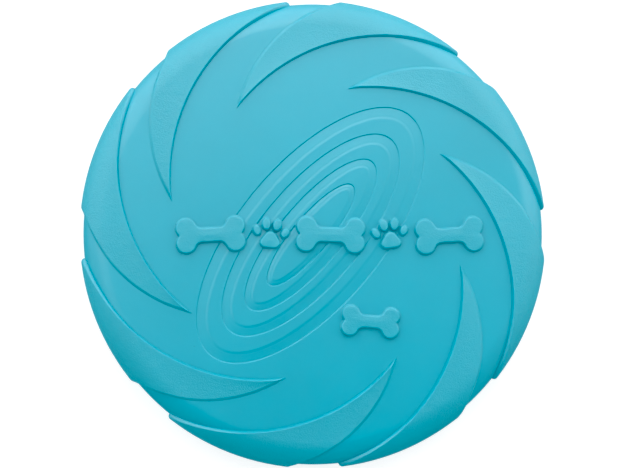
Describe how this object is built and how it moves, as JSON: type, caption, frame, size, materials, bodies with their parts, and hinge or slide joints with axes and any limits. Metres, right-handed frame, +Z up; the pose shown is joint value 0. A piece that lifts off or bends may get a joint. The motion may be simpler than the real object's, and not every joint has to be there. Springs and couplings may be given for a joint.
{
  "type": "dog flying disc",
  "caption": "Soft rubber throwing disc for a dog: a shallow dome, hollow below, with proud swirl vanes round the rim, nested oval grooves and raised bones and paw prints.",
  "frame": {"origin": "on the disc's axis, in the plane that its lip stands on", "axes": "+Z up out of the domed top, +X along the row of bones and paw prints, +Y towards the paws' toes"},
  "size_m": [0.1488, 0.1488, 0.0214],
  "materials": {
    "smooth_rubber": "satin",
    "grained_rubber": "fine matt grain"
  },
  "bodies": {
    "root": {"disc_shell": "smooth_rubber", "swirl_vane_1": "grained_rubber", "swirl_vane_2": "grained_rubber", "swirl_vane_3": "grained_rubber", "swirl_vane_4": "grained_rubber", "swirl_vane_5": "grained_rubber", "swirl_vane_6": "grained_rubber", "swirl_vane_7": "grained_rubber", "swirl_vane_8": "grained_rubber", "raised_bone_1": "smooth_rubber", "raised_bone_2": "smooth_rubber", "raised_bone_3": "smooth_rubber", "raised_bone_small": "smooth_rubber", "raised_paw_1_pad": "smooth_rubber", "raised_paw_1_toe_1": "smooth_rubber", "raised_paw_1_toe_2": "smooth_rubber", "raised_paw_1_toe_3": "smooth_rubber", "raised_paw_1_toe_4": "smooth_rubber", "raised_paw_2_pad": "smooth_rubber", "raised_paw_2_toe_1": "smooth_rubber", "raised_paw_2_toe_2": "smooth_rubber", "raised_paw_2_toe_3": "smooth_rubber", "raised_paw_2_toe_4": "smooth_rubber"}
  },
  "joints": []
}
